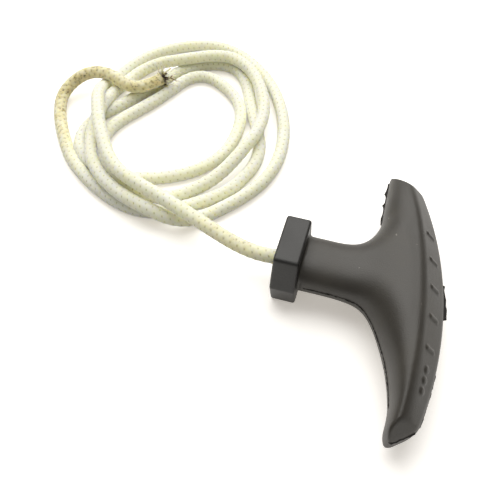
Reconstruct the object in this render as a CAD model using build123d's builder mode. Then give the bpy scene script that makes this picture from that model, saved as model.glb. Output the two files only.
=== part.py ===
from build123d import *
import math
import os

os.makedirs("parts", exist_ok=True)

# Overall sizes of the moulded T-handle, in millimetres
thickness = 20.7
crossbar_length = 91.0
handle_depth = 49.4
back_radius = 127.0
back_offset = 2.5

# Neck: it leans a little off square to the crossbar and meets it a little off its middle
lean_angle = 7.5
root_offset = 4.95
root_depth = 27.0
neck_start = 4.0
neck_width = 18.2
neck_height = 12.0
# Each flare station is depth from the crossbar's inner side, width, height and lean
flare_stations = (
    (-11.1, 18.5, 12.4, 7.0),
    (-7.1, 19.5, 13.2, 5.8),
    (-4.1, 22.6, 14.4, 4.4),
    (-1.6, 28.4, 15.8, 2.8),
    (0.8, 38.6, 17.2, 1.4),
    (7.4, 50.0, 18.8, 0.0),
)

# Block collar at the free end of the neck, widest at the parting plane
collar_length = 7.7
collar_ridge_width = 23.8
collar_flat_width = 17.4
collar_edge_radius = 0.8

# Crossbar: rounded inner side, crease, sloping band behind the crease, thinner tips cut aslant
bar_width = 19.7
tip_width_left = 8.1
tip_width_right = 5.8
taper_left = 2.1
taper_right = 1.1
inner_round = 0.8
band_width = 7.6
tip_band_width = 4.0
back_land = 3.0
tip_thickness = 11.0
tip_setback = 14.8
tip_slant_angle = 32.0
facet_slant_angle = 30.0
facet_bevel_angle = 30.0
land_above = 0.8
land_below = 2.4
station_count = 11

# Bore for the rope and the pocket that takes its knot
rope_diameter = 4.5
bore_clearance = 0.3
pocket_diameter = 11.0
pocket_setback = 13.4
knot_diameter = 10.6

# Torn flash on the back: its outline stands out from the back by the first figure of each pair
lip_reach = 1.3
lip_thickness = 0.9
lip_offset = -0.3
lip_outline = (
    (-1.0, -5.4),
    (0.4, -5.4),
    (lip_reach, -4.2),
    (0.9, -2.6),
    (lip_reach, -0.8),
    (0.8, 1.0),
    (lip_reach, 2.4),
    (0.5, 3.6),
    (0.8, 4.6),
    (-1.0, 5.2),
)

# Raised marks on the band: a row of bars, then a row of round pips
mark_count = 5
mark_setback = 26.4
mark_length = 4.6
mark_width = 1.4
mark_height = 0.5
pip_count = 3
pip_spacing = 3.0
pip_setback = 13.5
pip_diameter = 2.0
row_gap = 5.9

# Rope outside the handle, as points of its centreline
bend_share = 0.45
lead_points = (
    (-24.9, 8.5, 10.35),
    (-30.2, 8.5, 10.35),
    (-38.0, 11.4, 10.35),
    (-45.5, 15.6, 10.35),
    (-64.0, 28.4, 10.35),
    (-83.0, 41.2, 10.5),
    (-98.2, 60.5, 12.0),
    (-104.4, 81.5, 7.0),
    (-102.4, 92.3, 2.3),
    (-99.45, 98.9, 2.3),
)
tail_points = (
    (-100.45, 41.86, 2.3),
    (-106.8, 49.0, 2.3),
    (-116.0, 66.0, 2.3),
    (-119.4, 78.0, 3.2),
    (-116.6, 85.0, 5.6),
    (-110.0, 88.6, 8.7),
    (-101.5, 88.2, 9.4),
    (-94.4, 84.2, 7.4),
    (-87.0, 84.4, 6.8),
    (-80.9, 90.6, 6.8),
)

# Outer shape of the coil
coil_height = 8.0
coil_low_height = 4.5
coil_edge_radius = 2.0
coil_outer_points = (
    (-101.5, 100.0),
    (-95.4, 109.8),
    (-87.4, 116.9),
    (-75.8, 122.7),
    (-62.9, 124.1),
    (-49.6, 117.0),
    (-38.7, 104.2),
    (-31.8, 89.7),
    (-28.2, 74.4),
    (-28.1, 59.7),
    (-31.8, 47.0),
    (-38.1, 37.3),
    (-45.1, 30.5),
    (-49.8, 26.2),
    (-56.1, 21.7),
    (-62.8, 20.1),
    (-70.4, 21.0),
    (-78.6, 23.2),
    (-88.6, 28.4),
    (-95.0, 33.3),
    (-102.2, 40.2),
)
coil_left_points = (
    (-98.6, 43.4),
    (-103.7, 50.2),
    (-105.6, 55.0),
    (-104.8, 65.0),
    (-103.2, 73.0),
    (-102.0, 80.0),
    (-100.0, 89.0),
    (-97.0, 97.9),
)
coil_inner_points = (
    (-72.8, 96.0),
    (-67.9, 99.1),
    (-63.4, 97.5),
    (-57.9, 94.0),
    (-53.3, 88.7),
    (-50.6, 81.7),
    (-50.0, 74.4),
    (-50.7, 67.2),
    (-52.2, 58.8),
    (-55.6, 54.4),
    (-60.5, 49.5),
    (-65.8, 47.1),
    (-71.5, 45.2),
    (-78.0, 45.0),
    (-84.0, 46.8),
    (-89.0, 50.8),
    (-92.0, 57.0),
    (-92.4, 63.5),
    (-90.0, 69.3),
    (-86.2, 74.2),
    (-82.3, 79.1),
    (-78.4, 85.2),
)
coil_low_points = (
    (-130.0, 64.0),
    (-90.0, 64.0),
    (-76.0, 86.0),
    (-76.0, 130.0),
    (-130.0, 130.0),
)

half_thickness = thickness / 2
tip_reach = crossbar_length / 2
lean = math.radians(lean_angle)
front_offset = root_offset + root_depth * math.tan(lean)
front_depth = -collar_ridge_width / 2 * math.sin(lean)
middle_depth = (front_depth + handle_depth + lip_reach) / 2
pocket_depth = handle_depth - pocket_setback
pocket_offset = front_offset - pocket_depth * math.tan(lean)

# The handle lies with its parting plane level, half its thickness above the floor.
# Depths run from the collar's front along X, and the bore runs along the leaning neck.
parting = Plane((-middle_depth, 0, half_thickness))
bore_plane = Plane(
    origin=(-middle_depth, front_offset, half_thickness),
    x_dir=(math.sin(lean), math.cos(lean), 0),
    z_dir=(math.cos(lean), -math.sin(lean), 0),
)


def back_depth(reach):
    return handle_depth - back_radius + math.sqrt(back_radius**2 - (reach - back_offset) ** 2)


def bar_height(reach):
    return half_thickness - (half_thickness - tip_thickness / 2) * abs(reach / tip_reach) ** 3


def tapered(middle, tip, power, reach):
    return middle + (tip - middle) * abs(reach / tip_reach) ** power


def bar_inner(reach):
    if reach > 0:
        return back_depth(reach) - tapered(bar_width, tip_width_left, taper_left, reach)
    return back_depth(reach) - tapered(bar_width, tip_width_right, taper_right, reach)


def bar_band(reach):
    return tapered(band_width, tip_band_width, taper_left, reach)


with BuildPart() as pull_handle:
    # Crossbar, lofted from tip to tip
    for i in range(station_count):
        reach = tip_reach * (2 * i / (station_count - 1) - 1)
        section = Plane(
            origin=(-middle_depth, reach, half_thickness), x_dir=(1, 0, 0), z_dir=(0, -1, 0)
        )
        inner = bar_inner(reach)
        crease = back_depth(reach) - bar_band(reach)
        height = bar_height(reach)
        crown = inner + inner_round * (crease - inner)
        with BuildSketch(section):
            with BuildLine():
                EllipticalCenterArc((crown, 0), crown - inner, height, start_angle=90, arc_size=90)
                Polyline(
                    (crown, height),
                    (crease, height),
                    (back_depth(reach), back_land / 2),
                    (back_depth(reach), -back_land / 2),
                    (crease, -height),
                    (crown, -height),
                )
                EllipticalCenterArc((crown, 0), crown - inner, height, start_angle=180, arc_size=90)
            make_face()
    loft()

    # Both tips are cut aslant, their corners rounded, with a sloping facet above and below
    slant = math.radians(tip_slant_angle)
    facet_slant = math.radians(facet_slant_angle)
    bevel = math.radians(facet_bevel_angle)
    for side in (1, -1):
        tip = Vector(handle_depth - tip_setback - middle_depth, side * tip_reach, half_thickness)
        aslant = Vector(math.sin(slant), side * math.cos(slant), 0)
        split(bisect_by=Plane(origin=tip, z_dir=aslant), keep=Keep.BOTTOM)
        for up, land in ((1, land_above), (-1, land_below)):
            outward = Vector(math.sin(facet_slant), side * math.cos(facet_slant), 0)
            facet = Plane(
                origin=tip + Vector(0, 0, up * land),
                z_dir=outward * math.cos(bevel) + Vector(0, 0, up * math.sin(bevel)),
            )
            split(bisect_by=facet, keep=Keep.BOTTOM)

    # Neck, lofted along its lean through ovals that flare into the crossbar
    neck_stations = [(neck_start, neck_width, neck_height, lean_angle)]
    for beyond, width, height, turn in flare_stations:
        neck_stations.append((handle_depth - bar_width + beyond, width, height, turn))
    for depth, width, height, turn in neck_stations:
        swing = math.radians(turn)
        oval = Plane(
            origin=(depth - middle_depth, front_offset - depth * math.tan(lean), half_thickness),
            x_dir=(math.sin(swing), math.cos(swing), 0),
            z_dir=(math.cos(swing), -math.sin(swing), 0),
        )
        with BuildSketch(oval):
            Ellipse(width / 2, height / 2)
    loft()

    # Six-sided collar
    with BuildSketch(bore_plane):
        Polygon(
            (collar_ridge_width / 2, 0),
            (collar_flat_width / 2, half_thickness),
            (-collar_flat_width / 2, half_thickness),
            (-collar_ridge_width / 2, 0),
            (-collar_flat_width / 2, -half_thickness),
            (collar_flat_width / 2, -half_thickness),
            align=None,
        )
    extrude(amount=collar_length)
    collar_edges = pull_handle.edges(Select.LAST).filter_by(GeomType.LINE)
    fillet(collar_edges, radius=collar_edge_radius)

    # Torn flash on the back, at the parting plane
    with BuildSketch(parting):
        with BuildLine():
            Polyline(
                [(handle_depth + out, lip_offset + along) for out, along in lip_outline], close=True
            )
        make_face()
    extrude(amount=lip_thickness / 2, both=True)

    # Raised marks on the upper band: bars across it, then round pips
    pip_reaches = [pip_setback - tip_reach + pip_spacing * i for i in range(pip_count)]
    first_bar = pip_reaches[-1] + row_gap
    last_bar = tip_reach - mark_setback
    bar_spacing = (last_bar - first_bar) / (mark_count - 1)
    bar_reaches = [first_bar + bar_spacing * i for i in range(mark_count)]
    for reach in bar_reaches + pip_reaches:
        rise = bar_height(reach) - back_land / 2
        swing = math.asin((reach - back_offset) / back_radius)
        band_middle = Plane(
            origin=(
                back_depth(reach) - bar_band(reach) / 2 - middle_depth,
                reach,
                half_thickness + back_land / 2 + rise / 2,
            ),
            x_dir=(-math.sin(swing), math.cos(swing), 0),
            z_dir=(rise * math.cos(swing), rise * math.sin(swing), bar_band(reach)),
        )
        with BuildSketch(band_middle.offset(-mark_height)):
            if reach in bar_reaches:
                SlotOverall(mark_length, mark_width, rotation=90)
            else:
                Circle(pip_diameter / 2)
        extrude(amount=2 * mark_height)

    # Bore along the neck, and the knot pocket it opens into from the underside
    with BuildSketch(bore_plane):
        Circle(rope_diameter / 2 + bore_clearance)
    extrude(amount=pocket_depth / math.cos(lean), mode=Mode.SUBTRACT)
    with BuildSketch(Plane.XY):
        with Locations((pocket_depth - middle_depth, pocket_offset)):
            Circle(pocket_diameter / 2)
    extrude(amount=half_thickness + pocket_diameter / 2, mode=Mode.SUBTRACT)
pull_handle.part.label = "pull_handle"
export_step(pull_handle.part, "parts/pull_handle.step")

# Rope inside the handle: the stretch in the bore and the stopper knot in the pocket
with BuildPart() as rope_knot:
    with BuildSketch(bore_plane):
        Circle(rope_diameter / 2)
    extrude(amount=pocket_depth / math.cos(lean))
    with Locations((pocket_depth - middle_depth, pocket_offset, half_thickness)):
        Sphere(knot_diameter / 2)
rope_knot.part.label = "rope_knot"
export_step(rope_knot.part, "parts/rope_knot.step")


def bend_radii(points):
    radii = []
    for before, here, after in zip(points, points[1:], points[2:]):
        run_in = Vector(here) - Vector(before)
        run_out = Vector(after) - Vector(here)
        half_turn = math.radians(run_in.get_angle(run_out)) / 2
        radii.append(bend_share * min(run_in.length, run_out.length) / math.tan(half_turn))
    return radii


# Rope from the collar over the coil and down to its outer turn
lead_radii = bend_radii(lead_points)
with BuildPart() as rope_lead:
    with BuildLine() as lead_path:
        FilletPolyline(*lead_points, radius=lead_radii)
    with BuildSketch(Plane(origin=lead_path.line @ 0, z_dir=lead_path.line % 0)):
        Circle(rope_diameter / 2)
    sweep()
rope_lead.part.label = "rope_lead"
export_step(rope_lead.part, "parts/rope_lead.step")

# Coil, as one closed ring of its outer shape, lower where only one layer of rope lies
with BuildPart() as rope_coil:
    with BuildSketch():
        with BuildLine():
            main_edge = Spline(*coil_outer_points)
            left_edge = Spline(*coil_left_points)
            Line(main_edge @ 1, left_edge @ 0)
            Line(left_edge @ 1, main_edge @ 0)
        make_face()
        with BuildLine():
            Spline(*coil_inner_points, periodic=True)
        make_face(mode=Mode.SUBTRACT)
    extrude(amount=coil_height)
    # The four longest edges are the rims, outside and inside, above and below
    rims = rope_coil.edges().sort_by(SortBy.LENGTH)[-4:]
    fillet(rims, radius=coil_edge_radius)
    with BuildSketch(Plane.XY.offset(coil_low_height)):
        Polygon(*coil_low_points, align=None)
    extrude(amount=coil_height, mode=Mode.SUBTRACT)
rope_coil.part.label = "rope_coil"
export_step(rope_coil.part, "parts/rope_coil.step")

# Loose tail: round the left-hand loop, over the lead and onto the coil, to the cut end
tail_radii = bend_radii(tail_points)
with BuildPart() as rope_tail:
    with BuildLine() as tail_path:
        FilletPolyline(*tail_points, radius=tail_radii)
    with BuildSketch(Plane(origin=tail_path.line @ 0, z_dir=tail_path.line % 0)):
        Circle(rope_diameter / 2)
    sweep()
rope_tail.part.label = "rope_tail"
export_step(rope_tail.part, "parts/rope_tail.step")

print("lead bend radii", [round(r, 1) for r in lead_radii])
print("tail bend radii", [round(r, 1) for r in tail_radii])
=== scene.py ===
import math

import bpy
import numpy as np
from mathutils import Matrix


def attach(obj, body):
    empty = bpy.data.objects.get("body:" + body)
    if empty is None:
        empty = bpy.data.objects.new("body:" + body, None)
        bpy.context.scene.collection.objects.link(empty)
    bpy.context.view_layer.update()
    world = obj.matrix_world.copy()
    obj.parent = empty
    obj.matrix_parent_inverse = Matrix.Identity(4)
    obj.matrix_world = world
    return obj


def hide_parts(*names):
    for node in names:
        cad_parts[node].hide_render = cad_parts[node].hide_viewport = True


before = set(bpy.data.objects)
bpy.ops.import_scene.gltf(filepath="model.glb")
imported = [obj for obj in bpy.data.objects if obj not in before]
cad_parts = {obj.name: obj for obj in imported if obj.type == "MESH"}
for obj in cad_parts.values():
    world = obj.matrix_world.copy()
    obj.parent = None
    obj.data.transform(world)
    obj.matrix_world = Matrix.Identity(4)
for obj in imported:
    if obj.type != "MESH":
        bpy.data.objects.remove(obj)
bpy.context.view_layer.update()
print("frame loaded")


# Node trees as Python expressions

class Value:
    # wraps a socket, so that sums, differences and products of it add Math nodes
    def __init__(self, finish, socket):
        self.finish = finish
        self.socket = socket

    def math(self, operation, *others, clamp=False):
        inputs = dict(enumerate((self,) + others))
        return self.finish.add("ShaderNodeMath", {"operation": operation, "use_clamp": clamp}, inputs)[0]

    def __add__(self, other):
        return self.math("ADD", other)

    def __sub__(self, other):
        return self.math("SUBTRACT", other)

    def __rsub__(self, other):
        # other - self is self * -1 + other
        return self.math("MULTIPLY_ADD", -1.0, other)

    def __mul__(self, other):
        return self.math("MULTIPLY", other)

    __radd__ = __add__
    __rmul__ = __mul__

    def clamped(self):
        # kept between 0 and 1
        return self.math("ADD", 0.0, clamp=True)


class Outputs:
    # a node's outputs, by name or number
    def __init__(self, finish, node):
        self.finish = finish
        self.node = node

    def __getitem__(self, key):
        return Value(self.finish, self.node.outputs[key])


def colour4(colour):
    # a colour as red, green, blue and 1; a link stays as it is
    return colour if isinstance(colour, Value) else (*colour, 1)


class Finish:
    # the node tree of a material, or of the world
    def __init__(self, owner):
        self.owner = owner
        owner.use_nodes = True
        self.tree = owner.node_tree
        self.tree.nodes.clear()

    def add(self, kind, settings=None, inputs=None):
        node = self.tree.nodes.new(kind)
        for key, setting in (settings or {}).items():
            setattr(node, key, setting)
        for key, feed in (inputs or {}).items():
            if isinstance(feed, Value):
                self.tree.links.new(feed.socket, node.inputs[key])
            else:
                node.inputs[key].default_value = feed
        return Outputs(self, node)

    def coords(self):
        # a point's own place on the piece, in metres
        return self.add("ShaderNodeTexCoord")["Object"]

    def attribute(self, name):
        # a number that the mesh carries at each vertex
        return self.add("ShaderNodeAttribute", {"attribute_name": name})["Fac"]

    def noise(self, vector, scale, detail=2.0, roughness=0.5):
        # a soft random pattern about 0.5, with one blob per 1 / scale metres
        feeds = {"Vector": vector, "Scale": scale, "Detail": detail, "Roughness": roughness}
        return self.add("ShaderNodeTexNoise", None, feeds)["Fac"]

    def step(self, value, low, high):
        # 0 up to low, 1 from high on, and a smooth climb between them
        feeds = {"Value": value, "From Min": low, "From Max": high}
        return self.add("ShaderNodeMapRange", {"interpolation_type": "SMOOTHSTEP"}, feeds)["Result"]

    def mix(self, share, one, other):
        # one * (1 - share) + other * share
        feeds = {0: share, 6: colour4(one), 7: colour4(other)}
        return self.add("ShaderNodeMix", {"data_type": "RGBA"}, feeds)[2]

    def bump(self, height, distance, strength):
        # a normal tilted as if the surface stood out by height * distance
        feeds = {"Height": height, "Distance": distance, "Strength": strength}
        return self.add("ShaderNodeBump", None, feeds)["Normal"]

    def principled(self, inputs):
        shader = self.add("ShaderNodeBsdfPrincipled", None, inputs)
        self.add("ShaderNodeOutputMaterial", None, {"Surface": shader["BSDF"]})
        return self.owner


# Camera, as fitted to the photograph: a close view from above

view = {
    "place": (-0.017335, -0.105783, 0.16517),
    "turn": 8.05,    # degrees about the upright axis, then about the picture's width, then its depth
    "tilt": 37.0,
    "roll": 0.72,
    "lens": 45.18,
    "sensor": 36.0,
    "nearest": 0.005,
}


def turning(degrees, axis):
    # a turn by so many degrees about one axis
    return Matrix.Rotation(math.radians(degrees), 4, axis)


def makeCamera():
    # the camera's place is its move times the turn, the tilt and the roll, in that order
    lens = bpy.data.cameras.new("camera")
    lens.lens = view["lens"]
    lens.sensor_width = view["sensor"]
    lens.clip_start = view["nearest"]
    camera = bpy.data.objects.new("camera", lens)
    swing = turning(view["turn"], "Z") @ turning(view["tilt"], "X") @ turning(view["roll"], "Z")
    camera.matrix_world = Matrix.Translation(view["place"]) @ swing
    bpy.context.scene.collection.objects.link(camera)
    bpy.context.scene.camera = camera
    print("camera placed")


makeCamera()


# Lines, grids and pieces

def readLine(points, name):
    # the smooth line of a route: a quadratic NURBS spline with the route's points as its controls
    curve = bpy.data.curves.new(name, "CURVE")
    curve.dimensions = "3D"
    curve.resolution_u = 12
    spline = curve.splines.new("NURBS")
    spline.points.add(len(points) - 1)
    spline.points.foreach_set("co", np.array([(*p, 1.0) for p in points]).ravel())
    spline.order_u = 3
    spline.use_endpoint_u = True
    helper = bpy.data.objects.new(name, curve)
    bpy.context.scene.collection.objects.link(helper)
    bpy.context.view_layer.update()
    mesh = bpy.data.meshes.new_from_object(helper.evaluated_get(bpy.context.evaluated_depsgraph_get()))
    line = np.empty(len(mesh.vertices) * 3)
    mesh.vertices.foreach_get("co", line)
    bpy.data.objects.remove(helper)
    bpy.data.meshes.remove(mesh)
    return line.reshape(-1, 3)


def spaceEvenly(line, step):
    # the same line, with its points a fixed distance apart along it: each coordinate is read off
    # against the summed lengths of the steps before it
    reach = np.concatenate([[0], np.cumsum(np.linalg.norm(np.diff(line, axis=0), axis=1))])
    count = int(round(reach[-1] / step)) + 1
    along = np.linspace(0, reach[-1], count)
    return np.stack([np.interp(along, reach, line[:, k]) for k in range(3)], 1), along


def carriedFrames(line):
    # the tangent at each point, and a side direction carried along without twisting: each side is
    # the one before it, less its share along the tangent, made one long
    tangent = np.gradient(line, axis=0)
    tangent /= np.linalg.norm(tangent, axis=1)[:, None]
    side = np.empty_like(line)
    start = np.cross(tangent[0], (0, 0, 1.0))
    side[0] = start / np.linalg.norm(start)
    for i in range(1, len(line)):
        moved = side[i - 1] - tangent[i] * (side[i - 1] @ tangent[i])
        side[i] = moved / np.linalg.norm(moved)
    return tangent, side, np.cross(tangent, side)


def gridFaces(rows, columns, closed=False):
    # quads of a grid whose vertices run row by row: the corner at row i and column j has number
    # i * columns + j, and a closed grid joins its last column to its first
    i = np.arange(rows - 1)[:, None]
    j = np.arange(columns if closed else columns - 1)[None, :]
    k = (j + 1) % columns
    a, b = i * columns + j, i * columns + k
    return np.stack([a, b, b + columns, a + columns], 2).reshape(-1, 4)


def makePiece(name, vertices, faces, material, smooth=True):
    # a mesh at the origin that rides on the body and takes a colour slot
    mesh = bpy.data.meshes.new(name)
    mesh.from_pydata(vertices.tolist(), [], faces)
    mesh.polygons.foreach_set("use_smooth", np.full(len(mesh.polygons), smooth))
    mesh.materials.append(material)
    mesh.update()
    piece = bpy.data.objects.new(name, mesh)
    bpy.context.scene.collection.objects.link(piece)
    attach(piece, "root")
    return piece


def addAttribute(mesh, name, values):
    # one number per vertex, for a material to read
    layer = mesh.attributes.new(name, "FLOAT", "POINT")
    layer.data.foreach_set("value", np.ascontiguousarray(values, dtype=np.float32).ravel())


# Rope, in metres: its route starts on the part's own lead and ends on its own tail

rope = {
    "diameter": 0.0045,
    "exit": (-0.024573, 0.0085, 0.01035),
    "lead": [
        (-0.02490, 0.00850, 0.01035), (-0.03020, 0.00850, 0.01035), (-0.03800, 0.01120, 0.01035),
        (-0.04550, 0.01520, 0.01035), (-0.05450, 0.02040, 0.01050), (-0.06440, 0.02580, 0.01070),
        (-0.07390, 0.03050, 0.01100), (-0.08190, 0.03480, 0.01130), (-0.08730, 0.04040, 0.01160),
        (-0.09150, 0.04780, 0.01180), (-0.09580, 0.05650, 0.01180), (-0.09960, 0.06700, 0.01150),
        (-0.10250, 0.07650, 0.00960), (-0.10390, 0.08500, 0.00540), (-0.10200, 0.09250, 0.00240),
        (-0.09945, 0.09890, 0.00230),
    ],
    "coil": [
        # outermost turn, on the ground
        (-0.0942, 0.1084, 0.0023), (-0.0866, 0.1154, 0.0023), (-0.0756, 0.1210, 0.0023),
        (-0.0630, 0.1222, 0.0023), (-0.0508, 0.1156, 0.0023), (-0.0402, 0.1032, 0.0023),
        (-0.0335, 0.0890, 0.0023), (-0.0300, 0.0742, 0.0023), (-0.0299, 0.0598, 0.0023),
        (-0.0335, 0.0476, 0.0023), (-0.0398, 0.0386, 0.0023), (-0.0464, 0.0320, 0.0023),
        (-0.0512, 0.0278, 0.0023), (-0.0569, 0.0240, 0.0034),
        # second turn, climbing over the two beneath it
        (-0.0628, 0.0224, 0.0052), (-0.0688, 0.0236, 0.0067), (-0.0748, 0.0260, 0.0068),
        (-0.0813, 0.0292, 0.0068), (-0.0886, 0.0347, 0.0067), (-0.0945, 0.0417, 0.0066),
        (-0.0980, 0.0497, 0.0064), (-0.0998, 0.0580, 0.0064), (-0.1006, 0.0660, 0.0066),
        (-0.1003, 0.0738, 0.0066), (-0.0993, 0.0820, 0.0046), (-0.0975, 0.0896, 0.0028),
        (-0.0948, 0.0966, 0.0023), (-0.0908, 0.1020, 0.0026), (-0.0848, 0.1048, 0.0042),
        (-0.0776, 0.1044, 0.0064), (-0.0706, 0.1068, 0.0068), (-0.0636, 0.1093, 0.0068),
        (-0.0561, 0.1094, 0.0068), (-0.0480, 0.1036, 0.0068), (-0.0427, 0.0942, 0.0067),
        (-0.0400, 0.0861, 0.0065), (-0.0386, 0.0786, 0.0064), (-0.0390, 0.0711, 0.0064),
        (-0.0402, 0.0648, 0.0067), (-0.0425, 0.0591, 0.0067), (-0.0453, 0.0528, 0.0060),
        (-0.0489, 0.0468, 0.0048), (-0.0530, 0.0421, 0.0036), (-0.0581, 0.0384, 0.0026),
        # third turn, inside and beneath
        (-0.0636, 0.0345, 0.0024), (-0.0700, 0.0326, 0.0030), (-0.0765, 0.0326, 0.0046),
        (-0.0830, 0.0362, 0.0062), (-0.0889, 0.0418, 0.0066), (-0.0941, 0.0494, 0.0056),
        (-0.0960, 0.0567, 0.0040), (-0.0956, 0.0642, 0.0026), (-0.0922, 0.0707, 0.0023),
        (-0.0882, 0.0757, 0.0023), (-0.0842, 0.0806, 0.0023), (-0.0804, 0.0862, 0.0023),
        (-0.0768, 0.0922, 0.0023), (-0.0732, 0.0978, 0.0023), (-0.0679, 0.1012, 0.0023),
        (-0.0621, 0.0998, 0.0023), (-0.0566, 0.0955, 0.0023), (-0.0514, 0.0897, 0.0023),
        (-0.0480, 0.0822, 0.0023), (-0.0473, 0.0744, 0.0023), (-0.0480, 0.0667, 0.0023),
        (-0.0502, 0.0588, 0.0023), (-0.0542, 0.0526, 0.0023), (-0.0593, 0.0478, 0.0023),
        (-0.0651, 0.0446, 0.0023), (-0.0713, 0.0424, 0.0023),
        # fourth turn, under the others on the left and back round
        (-0.0784, 0.0411, 0.0023), (-0.0860, 0.0411, 0.0023), (-0.0932, 0.0430, 0.0023),
        (-0.0996, 0.0470, 0.0023), (-0.1040, 0.0530, 0.0023), (-0.1054, 0.0602, 0.0023),
        (-0.1034, 0.0675, 0.0023), (-0.0992, 0.0738, 0.0023), (-0.0944, 0.0794, 0.0023),
        (-0.0897, 0.0854, 0.0023), (-0.0854, 0.0906, 0.0023), (-0.0817, 0.0961, 0.0023),
        (-0.0782, 0.1013, 0.0023), (-0.0729, 0.1050, 0.0023), (-0.0667, 0.1088, 0.0023),
        (-0.0600, 0.1099, 0.0023), (-0.0537, 0.1074, 0.0023), (-0.0496, 0.1015, 0.0023),
        (-0.0469, 0.0943, 0.0023), (-0.0449, 0.0862, 0.0023), (-0.0424, 0.0786, 0.0023),
        (-0.0397, 0.0704, 0.0023), (-0.0378, 0.0622, 0.0023), (-0.0386, 0.0537, 0.0023),
        (-0.0420, 0.0465, 0.0023), (-0.0456, 0.0404, 0.0023), (-0.0510, 0.0356, 0.0023),
        (-0.0563, 0.0322, 0.0023), (-0.0626, 0.0289, 0.0023), (-0.0700, 0.0264, 0.0023),
        (-0.0766, 0.0269, 0.0023), (-0.0826, 0.0290, 0.0023), (-0.0882, 0.0321, 0.0023),
        (-0.0939, 0.0361, 0.0023),
    ],
    "tail": [
        (-0.10045, 0.04186, 0.00230),
        (-0.10680, 0.04900, 0.00230),
        (-0.11600, 0.06600, 0.00230),
        (-0.11940, 0.07800, 0.00320),
        (-0.11660, 0.08500, 0.00560),
        (-0.11000, 0.08860, 0.00870),
        (-0.10150, 0.08820, 0.00940),
        (-0.09440, 0.08420, 0.00740),
        (-0.08700, 0.08440, 0.00680),
        (-0.08110, 0.09140, 0.00690),
    ],
    "columns": 8,              # plaits round the rope
    "plaitPitch": 0.00125,     # length of one plait
    "around": 32,              # corners of a ring
    "step": 0.00036,           # distance between rings
    "grooveDepth": 0.00028,
    "lift": 0.00018,           # how far an upper plait rises over a lower one
    "plaitRound": 1.9,         # how soon a plait falls away from its middle
    "proud": 0.6,              # share of the groove's depth that stands outside the diameter
    "lowest": 0.00002,         # lowest height of the skin
    "creaseGain": 2.2,         # the deepest groove's value in the attribute of painted crease shade
    # how dirty the rope is along its length, as shares of it
    "soilAt": (0.0, 0.01, 0.02, 0.035, 0.912, 0.935, 0.955, 0.985, 0.9985, 1.0),
    "soil": (0.1, 0.35, 0.35, 0.0, 0.0, 0.6, 0.8, 0.6, 0.9, 1.7),
}
ropeLook = {
    "cream": (0.96, 0.95, 0.77),
    # painted shade in the grooves of the clean rope
    "creamCrease": (0.64, 0.61, 0.36),
    "creamPatch": (0.88, 0.85, 0.57),
    "dirty": (0.72, 0.63, 0.32),
    # painted shade in the grooves of the dirty rope
    "dirtyCrease": (0.42, 0.34, 0.15),
    "speck": (0.06, 0.042, 0.024),
    "cutEnd": (0.045, 0.03, 0.017),
    "cloudScale": 160.0,
    "cloudShare": 0.35,
    "patchScale": 420.0,
    "fineScale": 1900.0,
    "fineHeight": 0.00012,
    "fineStrength": 0.35,
    "roughness": 0.75,
    "specular": 0.3,
    "sheen": 0.3,
    "scatter": 1.0,            # how much light goes through the fibres, and how far
    "scatterRadius": (1.0, 0.94, 0.5),
    "scatterScale": 0.003,
}


def braid(around, along, columns, pitch, roundness):
    # a plain braid: two families of plaits wind opposite ways. A plait's dome is the root of 1 less
    # the squared distance from its middle, and it rises and falls as a cosine, over one crossing
    # plait and under the next; around is in turns and along in metres
    first = around * columns / 2 + along / (2 * pitch)
    second = around * columns / 2 - along / (2 * pitch)
    plaits = []
    for mine, other, sign in ((first, second, 1), (second, first, -1)):
        number = np.round(mine)
        dome = np.sqrt(np.clip(1 - (roundness * (mine - number)) ** 2, 0, 1)) - 1
        rise = sign * np.cos(np.pi * other) * np.cos(np.pi * number)
        plaits.append((dome, rise))
    return plaits


def ropeMaterial():
    # clean cream, with painted shade deeper in the creases, and deeper in wide random patches; dirt covers it
    # where the soil attribute times a noise is high, again with painted shade in its creases, with dark
    # specks, and a cut end's soil of over 1 is dark
    look = Finish(bpy.data.materials.new("braidedRope"))
    tone = ropeLook
    creaseShade = look.attribute("creaseShade")
    soil = look.attribute("soil")
    place = look.coords()
    cloud = look.noise(place, tone["cloudScale"], 3.0)
    patch = look.noise(place, tone["patchScale"], 3.0, 0.6)
    fine = look.noise(place, tone["fineScale"], 2.0)
    # painted shade: the crease attribute darkens the grooves between plaits
    clean = look.mix(look.step(creaseShade, 0.55, 1.1), tone["cream"], tone["creamCrease"])
    clean = look.mix(look.step(cloud, 0.50, 0.75) * tone["cloudShare"], clean, tone["creamPatch"])
    # dirt, with painted shade in its grooves too
    dirty = look.mix(look.step(creaseShade, 0.3, 1.0), tone["dirty"], tone["dirtyCrease"])
    grime = (soil * (patch * 2.2 - 0.25)).clamped()
    colour = look.mix(grime, clean, dirty)
    speck = look.step(fine * 0.6 + patch * 0.4 + soil * 0.09, 0.66, 0.71) * look.step(soil, 0.15, 0.6)
    colour = look.mix(speck, colour, tone["speck"])
    colour = look.mix(look.step(soil, 1.1, 1.5), colour, tone["cutEnd"])
    return look.principled({
        "Base Color": colour, "Roughness": tone["roughness"],
        "Normal": look.bump(fine, tone["fineHeight"], tone["fineStrength"]),
        "Specular IOR Level": tone["specular"], "Sheen Weight": tone["sheen"],
        "Subsurface Weight": tone["scatter"], "Subsurface Radius": tone["scatterRadius"],
        "Subsurface Scale": tone["scatterScale"],
    })


ropeFinish = ropeMaterial()


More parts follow.
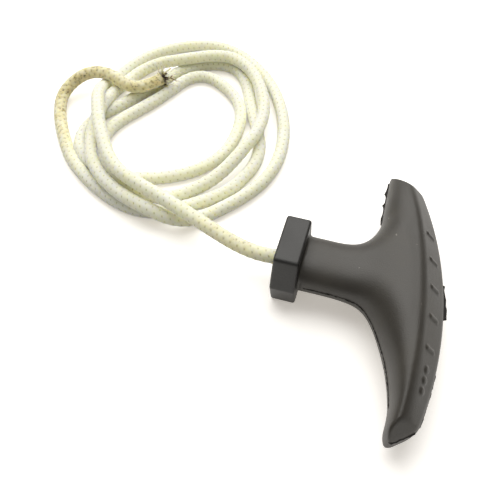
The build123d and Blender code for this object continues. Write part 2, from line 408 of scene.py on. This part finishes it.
def makeRope():
    # rings along the route: a ring's point is the line's point + radius * (cos * side + sin * over),
    # where the radius is half the diameter plus the higher of the two plaits' heights
    points = rope["lead"] + rope["coil"] + rope["tail"]
    line, along = spaceEvenly(readLine(points, "ropeRoute"), rope["step"])
    tangent, side, over = carriedFrames(line)
    turn = np.arange(rope["around"]) / rope["around"]
    around, down = np.meshgrid(turn, along)
    plaits = braid(around, down, rope["columns"], rope["plaitPitch"], rope["plaitRound"])
    layers = [rope["grooveDepth"] * dome + rope["lift"] * (rise - 1) / 2 for dome, rise in plaits]
    height = np.maximum(layers[0], layers[1])
    radius = rope["diameter"] / 2 + rope["proud"] * rope["grooveDepth"] + height
    angle = 2 * np.pi * around
    ring = (line[:, None, :] + radius[..., None] * (np.cos(angle)[..., None] * side[:, None, :]
            + np.sin(angle)[..., None] * over[:, None, :]))
    vertices = ring.reshape(-1, 3)
    vertices[:, 2] = np.maximum(vertices[:, 2], rope["lowest"])
    rows, columns = len(line), rope["around"]
    faces = gridFaces(rows, columns, closed=True).tolist()
    faces.append(list(range(columns))[::-1])
    faces.append(list(range((rows - 1) * columns, rows * columns)))
    piece = makePiece("ropeCord", vertices, faces, ropeFinish)
    # painted shade: how deep the groove is, as a share, darkens the rope there
    depth = np.clip(-height / (rope["grooveDepth"] + rope["lift"]), 0, 1) * rope["creaseGain"]
    addAttribute(piece.data, "creaseShade", depth)
    soil = np.interp(along / along[-1], rope["soilAt"], rope["soil"])
    addAttribute(piece.data, "soil", np.repeat(soil, columns))
    print("rope", len(line), "rings, length", round(float(along[-1]), 4))
    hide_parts("rope_lead", "rope_coil", "rope_tail")
    return line


ropeLine = makeRope()


# Frayed end: thick yarn tufts and thin hairs fan out of the cut, in metres

fray = {
    "tufts": {"count": 13, "sides": 7, "rows": 7, "length": (0.0030, 0.0048),
              "radius": (0.00042, 0.00062), "spread": 1.9, "bend": 0.3, "taper": 0.55, "seed": 5},
    "hairs": {"count": 120, "sides": 3, "rows": 6, "length": (0.0022, 0.0050),
              "radius": (0.00005, 0.00009), "spread": 2.2, "bend": 0.6, "taper": 0.6, "seed": 8},
    "inside": 0.0006,          # how far a tube starts inside the rope
    "ring": 0.0017,            # radius of the outermost start
    "lowest": 0.0007,
    "turnStep": 0.618,         # turns from one tube to the next, and how far they stray
    "turnStray": 0.1,
    "leanStray": 0.12,
    "stainedAbove": 0.6,       # a tube whose random number is higher than this is stained
    "stain": 0.75,
    # soil along a tube, as shares of its length
    "soilAt": (0, 0.22, 0.4, 0.75, 1),
    "soil": (1.7, 1.5, 0.6, 0.5, 1.4),
}


def fanOut(line, size):
    # tubes that start inside the rope's end and lean outwards, each bent its own way; a tube's line
    # is start + length * (direction * t + bend * t * t)
    rng = np.random.default_rng(size["seed"])
    count, rows, sides = size["count"], size["rows"], size["sides"]
    # directions at the cut, from the line's last few points
    tangent, side, over = (part[-1] for part in carriedFrames(line[-40:]))
    turn = 2 * np.pi * (np.arange(count) * fray["turnStep"] + rng.random(count) * fray["turnStray"])
    out = np.sqrt((np.arange(count) + 0.5) / count)
    radial = np.cos(turn)[:, None] * side + np.sin(turn)[:, None] * over
    start = line[-1] - tangent * fray["inside"] + radial * out[:, None] * fray["ring"]
    heading = tangent + radial * (out * size["spread"])[:, None]
    heading += rng.normal(0, fray["leanStray"], (count, 3))
    heading /= np.linalg.norm(heading, axis=1)[:, None]
    length = rng.uniform(*size["length"], count) + fray["inside"]
    bend = rng.normal(0, size["bend"], (count, 3))
    t = np.linspace(0, 1, rows)[None, :, None]
    path = start[:, None] + length[:, None, None] * (heading[:, None] * t + bend[:, None] * t * t)
    path[..., 2] = np.maximum(path[..., 2], fray["lowest"])
    # two directions across each tube, from its cross product with a line that none runs along
    flat = np.cross(heading, (0.3, 0.2, 0.93))
    flat /= np.linalg.norm(flat, axis=1)[:, None]
    upright = np.cross(heading, flat)
    radius = rng.uniform(*size["radius"], count)[:, None] * (1 - size["taper"] * t[..., 0] ** 3)
    angle = 2 * np.pi * np.arange(sides) / sides
    ring = np.cos(angle)[:, None] * flat[:, None, :] + np.sin(angle)[:, None] * upright[:, None, :]
    points = path[:, :, None] + radius[:, :, None, None] * ring[:, None]
    block = rows * sides
    grid = gridFaces(rows, sides, closed=True)
    faces = [(grid + block * i).tolist() for i in range(count)]
    for i in range(count):
        faces.append([[block * i + k for k in reversed(range(sides))]])
        faces.append([[block * (i + 1) - sides + k for k in range(sides)]])
    shade = np.broadcast_to(t, (count, rows, sides)).ravel()
    stained = np.repeat(rng.random(count) > fray["stainedAbove"], block)
    return points.reshape(-1, 3), sum(faces, []), shade, stained


def makeFray(line):
    # tufts and hairs in one mesh. The crease attribute, painted shade that is deepest at the tubes' crowded
    # roots, is 1.1 less 2.4 times the share of a tube's length, kept between 0 and 1, plus 3 times that share
    # less 2.5, kept between 0 and 0.5, which also darkens the tips a little
    points, faces, shade, stains = [], [], [], []
    for kind in ("tufts", "hairs"):
        some, quads, share, stained = fanOut(line, fray[kind])
        offset = sum(map(len, points))
        faces += [[index + offset for index in quad] for quad in quads]
        points.append(some)
        shade.append(share)
        stains.append(stained)
    shade = np.concatenate(shade)
    piece = makePiece("ropeFray", np.concatenate(points), faces, ropeFinish)
    # painted shade at the tufts' crowded roots
    creaseShade = np.clip(1.1 - 2.4 * shade, 0, 1) + np.clip(3 * shade - 2.5, 0, 0.5)
    soil = np.interp(shade, fray["soilAt"], fray["soil"]) + fray["stain"] * np.concatenate(stains)
    addAttribute(piece.data, "creaseShade", creaseShade)
    addAttribute(piece.data, "soil", soil)
    print("fray", len(shade), "points")


makeFray(ropeLine)


# Handle: collar, neck and crossbar as one rounded body, in millimetres. Depth runs from the
# collar's front to the back of the crossbar, reach along the crossbar, and rise from the parting
# plane. Each form is a field that is negative inside, and the skin is where the joined field is 0.

handle = {
    "middle": 24.573,          # depth of the frame's origin
    "half": 10.35,             # half the moulding's thickness
    "cell": 0.36,              # spacing of the sampled points
    "low": (-2.6, -46.8, -10.9),
    "high": (51.4, 46.8, 10.9),
    "lowest": 0.00005,         # lowest height of the skin, in metres
    "lean": 7.5,               # degrees that the neck and the bore lean
    "axisAtFront": 8.5,        # reach of the bore at the collar's front
    # parting line from the neck's far side along the left arm, and back along the right one
    "outline": [
        (-6.0, 18.4), (2.0, 17.4), (8.0, 16.7), (14.0, 15.9), (18.6, 15.2), (22.6, 15.1),
        (25.6, 16.3), (28.0, 18.9), (29.6, 21.8), (30.7, 25.0), (31.1, 28.5), (31.5, 32.3),
        (32.1, 37.0), (32.7, 42.0), (33.2, 46.0), (33.6, 60.0), (70.0, 60.0), (70.0, -60.0),
        (31.9, -60.0), (32.2, -46.0), (32.7, -43.5), (33.6, -39.5), (34.2, -36.0), (34.2, -32.5),
        (33.8, -27.6), (33.0, -22.8), (31.6, -17.9), (29.9, -12.8), (28.5, -9.8), (26.8, -6.9),
        (24.4, -4.8), (20.9, -3.7), (16.0, -2.8), (10.8, -2.1), (4.0, -1.3), (-6.0, -0.2),
    ],
    # the arms' inner side, as reach and depth, for their width alone
    "innerSide": [(-46, 33.5), (-36, 34.2), (-27, 33.8), (-18, 31.6), (-12, 30.0),
                  (20, 30.0), (28, 31.1), (37, 32.1), (46, 33.2)],
    # the back's arc, and the slanted band above and below it
    "backDepth": 49.4,
    "backRadius": 127.0,
    "backOffset": 2.5,
    "backLand": 1.5,
    "bandWidth": 7.6,
    "tipBandWidth": 4.0,
    "bandTaper": 2.1,
    # heights of the top over the parting plane
    "barHeight": 10.35,
    "tipHeight": 5.5,
    "heightTaper": 3,
    "neckHeight": 6.0,
    "climbFrom": 15.0,         # depth at which the neck's top starts to climb to the crossbar's
    "climbLength": 24.0,
    "climbPower": 1.5,
    # the neck's share of the shape: whole within a half width of its reach, then fading
    "neckReach": 4.5,
    "neckHalf": 13.0,
    "neckFade": 15.0,
    "neckStart": 3.0,
    "neckRound": 8.7,
    # how round the sides are: a share of the arm's width, but no less than the least
    "roundShare": 0.9,
    "roundLeast": 2.8,
    "ovalPower": 2.25,
    # tips: an end wall, and a facet that slopes away from a narrow land; angles in degrees
    "tipDepth": 34.6,
    "tipReach": 45.5,
    "tipOver": -0.2,
    "tipSlant": 32.0,
    "facetSlant": 30.0,
    "facetBevel": 30.0,
    "landAbove": 0.8,
    "landBelow": 2.4,
    "cornerDepth": 34.4,
    "cornerNormal": (0.849, 0.53),
    # collar, bore and knot pocket
    "collarLength": 7.7,
    "collarRidge": 11.9,
    "collarFlat": 8.7,
    "bore": 2.55,
    "pocketDepth": 36.0,
    "pocketRadius": 5.5,
    # raised marks
    "bars": (-20.1, -10.3, -0.5, 9.3, 19.1),
    "barLength": 4.6,
    "barWidth": 1.3,
    "pips": (-32.0, -29.0, -26.0),
    "pipWidth": 2.0,
    "markHeight": 0.38,
    # how wide each edge is rounded
    "rounds": {"band": 1.3, "back": 0.9, "tip": 1.3, "facet": 0.45, "corner": 1.6, "mark": 0.4,
               "markFoot": 0.3, "collarTop": 1.0, "collarEnd": 0.8, "collarFoot": 1.1, "bore": 0.4,
               "pocket": 0.5},
}
partingLine = readLine([(depth, reach, 0) for depth, reach in handle["outline"]], "partingLine")[:, :2]


def smoothMax(one, other, size):
    # the larger of two fields, plus a bump near their crossing that rounds the edge between them
    return np.maximum(one, other) + np.maximum(size - np.abs(one - other), 0) ** 2 / (4 * size)


def smoothStep(value):
    # 3 t t - 2 t t t, with t the value kept between 0 and 1
    share = np.clip(value, 0, 1)
    return share * share * (3 - 2 * share)


def outlineDistance(line, across, along):
    # distance from each grid point to the nearest side of a closed line, negative inside it; a
    # point is inside where a ray from it crosses an odd number of sides
    nearest = np.full(across.shape, 1e9)
    inside = np.zeros(across.shape, bool)
    for (x0, y0), (x1, y1) in zip(line, np.roll(line, -1, axis=0)):
        dx, dy = x1 - x0, y1 - y0
        share = np.clip(((across - x0) * dx + (along - y0) * dy) / (dx * dx + dy * dy + 1e-12), 0, 1)
        gap = np.hypot(across - x0 - share * dx, along - y0 - share * dy)
        nearest = np.minimum(nearest, gap)
        if y0 != y1:
            crossing = ((y0 > along) != (y1 > along)) & (across < x0 + (along - y0) * dx / dy)
            inside ^= crossing
    return np.where(inside, -nearest, nearest)


def backLine(reach):
    # an arc, which bulges most a little off the middle: its centre's depth plus the root of the
    # radius squared less the squared reach from there
    return (handle["backDepth"] - handle["backRadius"]
            + np.sqrt(handle["backRadius"] ** 2 - (reach - handle["backOffset"]) ** 2))


def flatPlan(depth, reach):
    # what is the same at every height. The band's width and the top's height change towards the
    # tips by a power of the share of the reach, and the neck's own top and roundness take over near
    # its reach
    size = handle
    share = np.abs(reach / size["tipReach"])
    back = backLine(reach)
    band = size["bandWidth"] + (size["tipBandWidth"] - size["bandWidth"]) * share ** size["bandTaper"]
    barTop = size["barHeight"] - (size["barHeight"] - size["tipHeight"]) * share ** size["heightTaper"]
    climb = smoothStep((depth - size["climbFrom"]) / size["climbLength"]) ** size["climbPower"]
    neckTop = size["neckHeight"] + (size["barHeight"] - size["neckHeight"]) * climb
    nearNeck = 1 - smoothStep((np.abs(reach - size["neckReach"]) - size["neckHalf"]) / size["neckFade"])
    top = barTop + (np.minimum(neckTop, barTop) - barTop) * nearNeck
    innerReach, innerDepth = np.array(size["innerSide"]).T
    inner = np.interp(reach, innerReach, innerDepth)
    rounding = size["roundShare"] * np.maximum(back - band - inner, size["roundLeast"])
    rounding = rounding + (size["neckRound"] - rounding) * nearNeck
    fall = barTop - size["backLand"]
    return {"edge": outlineDistance(partingLine, depth, reach), "back": back, "band": band,
            "barTop": barTop, "top": top, "rounding": rounding, "fall": fall, "slope": np.hypot(fall, band)}


def cutTip(body, depth, reach, rise, side):
    # the larger of the body, an end wall and a facet. A wall is depth times the sine of its slant
    # plus the reach past the tip times the cosine, and the facet also leans by its bevel
    size, rounds = handle, handle["rounds"]
    slant, facetSlant, bevel = (math.radians(size[key]) for key in ("tipSlant", "facetSlant", "facetBevel"))
    land = np.where(rise > 0, size["landAbove"], size["landBelow"])
    past = side * reach - size["tipReach"] - side * size["tipOver"]
    wall = (depth - size["tipDepth"]) * math.sin(slant) + past * math.cos(slant)
    ahead = (depth - size["tipDepth"]) * math.sin(facetSlant) + past * math.cos(facetSlant)
    facet = ahead * math.cos(bevel) + (np.abs(rise) - land) * math.sin(bevel)
    if side < 0:
        # this tip's inner corner is cut off and rounded
        forward, outward = size["cornerNormal"]
        corner = (size["cornerDepth"] - depth) * forward + past * outward
        wall = smoothMax(wall, corner, rounds["corner"])
    return smoothMax(smoothMax(body, wall, rounds["tip"]), facet, rounds["facet"])


def markField(plan, band, depth, reach, rise):
    # bars across the upper band and a row of pips: the distance from a mark's middle, less half its
    # width, where the point is no higher over the band than a mark
    size = handle
    away = 9.0    # any distance that is well outside
    middle = (plan["barTop"] + size["backLand"]) / 2
    downBand = ((depth - plan["back"] + plan["band"] / 2) * plan["band"]
                - (np.abs(rise) - middle) * plan["fall"]) / plan["slope"]
    marks = np.full(depth.shape, away)
    for place in size["bars"]:
        overrun = np.maximum(np.abs(downBand) - (size["barLength"] - size["barWidth"]) / 2, 0)
        marks = np.minimum(marks, np.hypot(overrun, reach - place) - size["barWidth"] / 2)
    for place in size["pips"]:
        marks = np.minimum(marks, np.hypot(downBand, reach - place) - size["pipWidth"] / 2)
    return smoothMax(marks, np.where(rise > 0, band - size["markHeight"], away), size["rounds"]["mark"])


def collarField(along, aside, level):
    # a six-sided block square to the bore: its sides lean from a ridge on the parting plane to the
    # flat top, and two end faces close it
    size, rounds = handle, handle["rounds"]
    inward = size["collarRidge"] - size["collarFlat"]
    slope = math.hypot(size["half"], inward)
    sides = ((np.abs(aside) - size["collarRidge"]) * size["half"] + level * inward) / slope
    ends = np.abs(along - size["collarLength"] / 2) - size["collarLength"] / 2
    collar = smoothMax(sides, level - size["half"], rounds["collarTop"])
    return smoothMax(collar, ends, rounds["collarEnd"])


def handleField(depth, reach, rise):
    # crossbar and neck fall as an oval from the top to the parting line: the sum of two shares
    # raised to a power, one of the way to the line and one of the height, stays under 1. Band, back
    # and tips are cut from it, marks and collar are joined on, and bore and pocket are taken out
    size, rounds = handle, handle["rounds"]
    level = np.abs(rise)
    plan = flatPlan(depth[:, :, :1], reach[:, :, :1])
    fromEdge = np.maximum(plan["edge"] / plan["rounding"] + 1, 0)
    power = size["ovalPower"]
    oval = (fromEdge ** power + (level / plan["top"]) ** power) ** (1 / power) - 1
    body = oval * np.minimum(plan["rounding"], plan["top"])
    band = ((depth - plan["back"]) * plan["fall"] + (level - size["backLand"]) * plan["band"]) / plan["slope"]
    body = smoothMax(body, band, rounds["band"])
    body = smoothMax(body, depth - plan["back"], rounds["back"])
    for side in (1, -1):
        body = cutTip(body, depth, reach, rise, side)
    body = -smoothMax(-body, -markField(plan, band, depth, reach, rise), rounds["markFoot"])
    # along and aside are measured on the leaning bore
    lean = math.radians(size["lean"])
    offset = reach - size["axisAtFront"]
    along = depth * math.cos(lean) - offset * math.sin(lean)
    aside = depth * math.sin(lean) + offset * math.cos(lean)
    body = np.maximum(body, size["neckStart"] - along)
    body = -smoothMax(-body, -collarField(along, aside, level), rounds["collarFoot"])
    bore = np.maximum(np.hypot(aside, rise) - size["bore"], along - size["pocketDepth"])
    pocketReach = size["axisAtFront"] - size["pocketDepth"] * math.tan(lean)
    pocket = np.hypot(depth - size["pocketDepth"], reach - pocketReach) - size["pocketRadius"]
    pocket = np.maximum(pocket, rise - size["pocketRadius"])
    return smoothMax(smoothMax(body, -bore, rounds["bore"]), -pocket, rounds["pocket"])


def surfaceNet(field, low, cell):
    # a vertex in each grid cell that the surface crosses, at the mean of the cell's edge crossings,
    # and a quad round each grid edge that it crosses
    shape = np.array(field.shape)
    total = np.zeros((*(shape - 1), 3))
    count = np.zeros(shape - 1)
    crossings = []
    for axis in range(3):
        start = np.moveaxis(field, axis, 0)[:-1]
        end = np.moveaxis(field, axis, 0)[1:]
        crossed = (start < 0) != (end < 0)
        share = np.where(crossed, start / np.where(crossed, start - end, 1), 0)
        others = [k for k in range(3) if k != axis]
        n, m = crossed.shape[1] - 1, crossed.shape[2] - 1
        index = np.indices((crossed.shape[0], n, m))
        for j in (0, 1):
            for k in (0, 1):
                hit = crossed[:, j:j + n, k:k + m]
                parts = np.zeros((*hit.shape, 3))
                parts[..., axis] = (index[0] + share[:, j:j + n, k:k + m]) * hit
                parts[..., others[0]] = (index[1] + j) * hit
                parts[..., others[1]] = (index[2] + k) * hit
                total += np.moveaxis(parts, [0, 1, 2], [axis, others[0], others[1]])
                count += np.moveaxis(hit, [0, 1, 2], [axis, others[0], others[1]])
        crossings.append((crossed, start < 0, others))
    used = count > 0
    number = np.full(used.shape, -1)
    number[used] = np.arange(used.sum())
    vertices = low + cell * total[used] / count[used][:, None]
    faces = []
    for axis, (crossed, outward, others) in enumerate(crossings):
        cells = np.moveaxis(number, [axis, others[0], others[1]], [0, 1, 2])
        i, j, k = np.nonzero(crossed[:, 1:-1, 1:-1])
        quad = np.stack([cells[i, j, k], cells[i, j + 1, k], cells[i, j + 1, k + 1], cells[i, j, k + 1]], 1)
        # a quad faces along its axis where the edge starts inside, and the other way round where
        # the two other axes are in left-handed order, as they are for the middle one
        ahead = outward[i, j + 1, k + 1] ^ (axis == 1)
        faces.append(np.where(ahead[:, None], quad, quad[:, ::-1]))
    return vertices, np.concatenate(faces)


plastic = {
    "colour": (0.031, 0.0265, 0.0195),
    "patch": (0.042, 0.0365, 0.027),
    "speck": (0.30, 0.28, 0.24),
    "collar": (0.010, 0.009, 0.007),
    # the dark of the torn flash, also used for the painted shade line along a tip's facet foot
    "torn": (0.014, 0.012, 0.01),
    # the collar's joint is where x less collarSlope times y passes these values, in metres
    "collarSlope": 0.13,
    "collarJoint": (-0.0180, -0.0175),
    "cloudScale": 90.0,
    "speckScale": 700.0,
    "speckShare": 0.5,
    "grainScale": 2600.0,
    "grainHeight": 0.00006,
    "grainStrength": 0.8,
    "roughness": 0.40,         # and roughnessRise more where the wide noise is 1
    "roughnessRise": 0.16,
    "specular": 0.6,
    "tornRoughness": 0.8,
}


def plasticMaterial():
    # two near blacks mixed by a wide noise, a few pale specks, a darker collar, and a fine grain;
    # roughness is its least value plus its rise times the wide noise
    look = Finish(bpy.data.materials.new("blackMouldedPlastic"))
    place = look.coords()
    grain = look.noise(place, plastic["grainScale"], 2.0)
    cloud = look.noise(place, plastic["cloudScale"], 3.0)
    colour = look.mix(look.step(cloud, 0.35, 0.7), plastic["colour"], plastic["patch"])
    speck = look.step(look.noise(place, plastic["speckScale"], 2.0), 0.76, 0.80)
    colour = look.mix(speck * plastic["speckShare"], colour, plastic["speck"])
    axes = look.add("ShaderNodeSeparateXYZ", None, {0: place})
    collar = 1 - look.step(axes["X"] - plastic["collarSlope"] * axes["Y"], *plastic["collarJoint"])
    colour = look.mix(collar, colour, plastic["collar"])
    return look.principled({
        "Base Color": colour, "Roughness": plastic["roughness"] + plastic["roughnessRise"] * cloud,
        "Normal": look.bump(grain, plastic["grainHeight"], plastic["grainStrength"]),
        "Specular IOR Level": plastic["specular"],
    })


def tornAndShadeMaterial():
    # plain and dull, as torn plastic is; its dark colour also draws a painted shade line along the foot of a
    # tip's facet
    look = Finish(bpy.data.materials.new("tornPlasticAndShade"))
    return look.principled({"Base Color": colour4(plastic["torn"]), "Roughness": plastic["tornRoughness"]})


plasticFinish = plasticMaterial()
tornAndShadeFinish = tornAndShadeMaterial()


def toFrame(points):
    # millimetres of depth, reach and rise, as metres in the frame: moved by the origin's depth and
    # half the thickness, then divided by a thousand
    return (np.asarray(points, float) + (-handle["middle"], 0, handle["half"])) * 0.001


def makeHandle():
    # the field is sampled on a grid, and its skin is meshed
    low, high, cell = np.array(handle["low"]), np.array(handle["high"]), handle["cell"]
    axes = [np.arange(a, b, cell) for a, b in zip(low, high)]
    depth, reach, rise = np.meshgrid(*axes, indexing="ij")
    vertices, faces = surfaceNet(handleField(depth, reach, rise), low, cell)
    points = toFrame(vertices)
    points[:, 2] = np.maximum(points[:, 2], handle["lowest"])
    piece = makePiece("handleBody", points, faces.tolist(), plasticFinish)
    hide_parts("pull_handle")
    print("handle", len(vertices), "points")


makeHandle()


# Torn flash on the parting line, the broken gate on the back, and a dark strip of painted shade along the
# foot of a tip's facet, in millimetres: a strip runs between two spots of the outline, between two reaches of
# the back, or along its own points

flash = [
    {"name": "flashNear", "start": (34.2, -36.0), "end": (8.4, -1.8), "stand": 0.12, "jag": 0.3,
     "half": 0.1, "grain": 0.5, "seed": 3},
    {"name": "flashFar", "start": (30.9, 25.5), "end": (33.0, 44.5), "stand": 0.3, "jag": 0.75,
     "half": 0.12, "grain": 1.5, "seed": 11},
    {"name": "flashCollar", "start": (8.0, 16.7), "end": (9.3, 16.5), "stand": 0.5, "jag": 0.3,
     "half": 0.25, "grain": 0.4, "seed": 2},
    {"name": "flashBack", "back": (-24.0, -40.0), "stand": 0.1, "jag": 0.15,
     "half": 0.1, "grain": 0.8, "seed": 7},
    # painted shade: a dark strip along the foot of the tip's facet, where the wall meets it
    {"name": "tipShadeLine", "points": [(33.9, -44.4), (34.9, -45.3), (38.0, -43.5), (41.0, -41.6)],
     "stand": 0.2, "jag": 0.2, "half": 0.18, "grain": 0.8, "rise": 0.8, "seed": 4},
    {"name": "gateBack", "back": (5.6, -6.8), "stand": 0.4, "jag": 0.75,
     "half": 0.4, "grain": 1.5, "seed": 9},
]
flashCut = {
    "step": 0.1,       # distance between a strip's rings
    "root": 0.7,       # how far a strip starts inside the body
    "edge": 0.35,      # the torn edge's share of the root's thickness
    "sway": 0.08,      # how far the torn edge wanders up and down
    "fade": 4,         # rings over which a strip's ends fade
}


def partingPath(strip):
    # the stretch of the parting line between a strip's ends, with the direction out of the body,
    # which is the tangent turned by a quarter
    step = flashCut["step"]
    if "points" in strip:
        corners = np.array([(depth, reach, 0) for depth, reach in strip["points"]])
        line = spaceEvenly(corners, step)[0][::-1, :2]
    elif "back" in strip:
        reach = np.arange(*strip["back"], -step)
        line = np.stack([backLine(reach), reach], 1)
    else:
        ends = (strip["start"], strip["end"])
        first, last = (np.argmin(np.linalg.norm(partingLine - end, axis=1)) for end in ends)
        stretch = partingLine[first:last + 1]
        line = spaceEvenly(np.column_stack([stretch, np.zeros(len(stretch))]), step)[0][:, :2]
    tangent = np.gradient(line, axis=0)
    tangent /= np.linalg.norm(tangent, axis=1)[:, None]
    return line, np.column_stack([-tangent[:, 1], tangent[:, 0]])


def makeFlash(strip):
    # a thin strip with a torn edge: it stands out by stand + jag * noise squared, and thins outwards
    line, out = partingPath(strip)
    rng = np.random.default_rng(strip["seed"])
    count = len(line)
    ring = np.arange(count)
    knots = max(int(count * flashCut["step"] / strip["grain"]), 3)
    knotAt = np.linspace(0, count - 1, knots)
    noise = np.interp(ring, knotAt, rng.random(knots))
    fade = np.minimum(1, np.minimum(ring, ring[::-1]) / flashCut["fade"])
    stand = (strip["stand"] + strip["jag"] * noise ** 2) * fade
    lift = np.interp(ring, knotAt, rng.normal(0, flashCut["sway"], knots))
    edge, rings = flashCut["edge"], []
    for torn, level in ((False, 1.0), (True, edge), (True, -edge), (False, -1.0)):
        place = line + out * np.where(torn, stand, -flashCut["root"])[:, None]
        height = level * strip["half"] + lift * torn + strip.get("rise", 0)
        rings.append(np.column_stack([place, height]))
    points = np.stack(rings, 1).reshape(-1, 3)
    faces = gridFaces(count, 4, closed=True)[:, ::-1].tolist()
    faces += [[0, 1, 2, 3], list(range(count * 4 - 4, count * 4))[::-1]]
    makePiece(strip["name"], toFrame(points), faces, tornAndShadeFinish, smooth=False)


for strip in flash:
    makeFlash(strip)
print("flash", len(flash), "strips")


def dressNode(node, material):
    # a CAD node keeps its own mesh and takes a material
    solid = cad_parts[node]
    solid.data.materials.clear()
    solid.data.materials.append(material)


dressNode("rope_knot", ropeFinish)


# Ground and light, in metres

ground = {
    "half": 3.0,
    "floor": (0.66, 0.65, 0.62),       # to light that bounces
    "seen": (1.72, 1.72, 1.72),        # to the camera and in reflections
    "glow": 0.40,                      # share of plain white near the object, rising to 1 far off
    "glowNear": 0.22,
    "glowFar": 0.55,
    # painted warm shade: the glow's colour near the object, seen only in its shadows
    "warm": (1.0, 0.93, 0.83),
    "white": (1.0, 1.0, 1.0),
}


def groundMaterial():
    # white to the camera and in reflections, a plain pale floor to everything else; near the object the white
    # glow is tinted warm, a painted warm shade that shows only in the object's shadows
    look = Finish(bpy.data.materials.new("paleGround"))
    rays = look.add("ShaderNodeLightPath")
    seen = (rays["Is Camera Ray"] + rays["Is Glossy Ray"] + rays["Is Transmission Ray"]).clamped()
    colour = look.mix(seen, ground["floor"], ground["seen"])
    lit = look.add("ShaderNodeBsdfDiffuse", None, {"Color": colour})
    reach = look.add("ShaderNodeVectorMath", {"operation": "LENGTH"}, {0: look.coords()})["Value"]
    far = look.step(reach, ground["glowNear"], ground["glowFar"])
    # painted warm shade near the object, fading to white far off
    shadeTint = look.mix(far, ground["warm"], ground["white"])
    white = look.add("ShaderNodeEmission", None, {"Color": shadeTint, "Strength": 1.0})
    share = seen * (ground["glow"] + (1 - ground["glow"]) * far)
    both = look.add("ShaderNodeMixShader", None, {0: share, 1: lit["BSDF"], 2: white["Emission"]})
    look.add("ShaderNodeOutputMaterial", None, {"Surface": both["Shader"]})
    return look.owner


def makeGround():
    # one square, level with the object's underside
    half = ground["half"]
    corners = [(-half, -half, 0), (half, -half, 0), (half, half, 0), (-half, half, 0)]
    mesh = bpy.data.meshes.new("ground")
    mesh.from_pydata(corners, [], [(0, 1, 2, 3)])
    mesh.materials.append(groundMaterial())
    floor = bpy.data.objects.new("ground", mesh)
    bpy.context.scene.collection.objects.link(floor)


keyLight = {"place": (-0.17, 0.60, 0.94), "aim": (-0.04, 0.04, 0), "size": 1.5, "watts": 19.5,
            "colour": (1.0, 0.985, 0.955)}
sky = {"level": 0.22, "colour": (1.0, 1.0, 1.0)}


def makeLamp(name, lamp):
    # a square lamp whose back is the direction from its aim to its place
    light = bpy.data.lights.new(name, "AREA")
    light.size = lamp["size"]
    light.energy = lamp["watts"]
    light.color = lamp["colour"]
    holder = bpy.data.objects.new(name, light)
    away = np.array(lamp["place"]) - np.array(lamp["aim"])
    back = away / np.linalg.norm(away)
    across = np.cross((0, 0, 1.0), back)
    across /= np.linalg.norm(across)
    upright = np.cross(back, across)
    facing = Matrix(np.column_stack([across, upright, back]).tolist()).to_4x4()
    holder.matrix_world = Matrix.Translation(lamp["place"]) @ facing
    bpy.context.scene.collection.objects.link(holder)


def makeSky():
    # strength 1 to the camera, and the sky's dim level to everything else
    look = Finish(bpy.data.worlds.new("studio"))
    rays = look.add("ShaderNodeLightPath")
    strength = sky["level"] + (1 - sky["level"]) * rays["Is Camera Ray"]
    shine = look.add("ShaderNodeBackground", None, {"Color": colour4(sky["colour"]), "Strength": strength})
    look.add("ShaderNodeOutputWorld", None, {"Surface": shine["Background"]})
    bpy.context.scene.world = look.owner


makeGround()
makeSky()
makeLamp("key", keyLight)
print("ground and light placed")

bpy.context.scene.view_settings.view_transform = "Standard"
